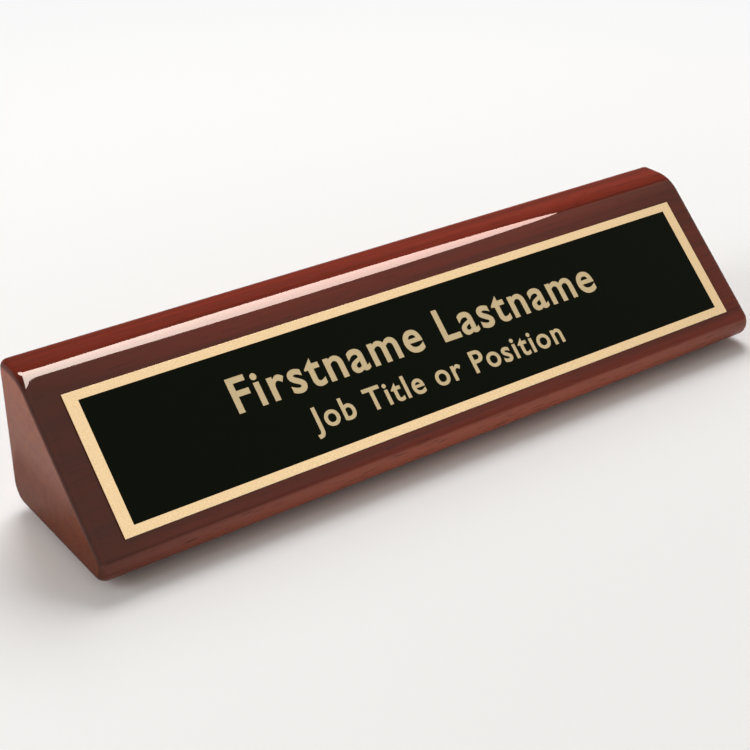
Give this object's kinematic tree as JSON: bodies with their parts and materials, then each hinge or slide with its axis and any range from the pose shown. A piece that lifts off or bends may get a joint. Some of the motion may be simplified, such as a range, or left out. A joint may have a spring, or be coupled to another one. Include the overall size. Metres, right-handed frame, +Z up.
{
  "type": "desk name plate",
  "caption": "Glossy rosewood-stained wedge with a black-lacquered brass engraving plate on its sloped face, standing on small rubber feet, to show a name on a desk.",
  "frame": {"origin": "on the desk under the middle of the part's length and depth", "axes": "+X along the length, to the right as the name is read; -Y to the front, where the face looks; +Z up"},
  "size_m": [0.2666, 0.06, 0.0518],
  "materials": {
    "rosewood_lacquer": "rosewood stain under high-gloss clear lacquer",
    "satin_brass": "satin",
    "black_lacquer": "satin black lacquer",
    "adhesive": "translucent acrylic adhesive",
    "foot_rubber": "matte moulded"
  },
  "bodies": {
    "root": {"wedge_block": "rosewood_lacquer", "plate_adhesive": "adhesive", "brass_plate": "satin_brass", "black_field": "black_lacquer", "foot_adhesive": "adhesive", "foot_front_left": "foot_rubber", "foot_front_right": "foot_rubber", "foot_rear_left": "foot_rubber", "foot_rear_right": "foot_rubber"}
  },
  "joints": []
}
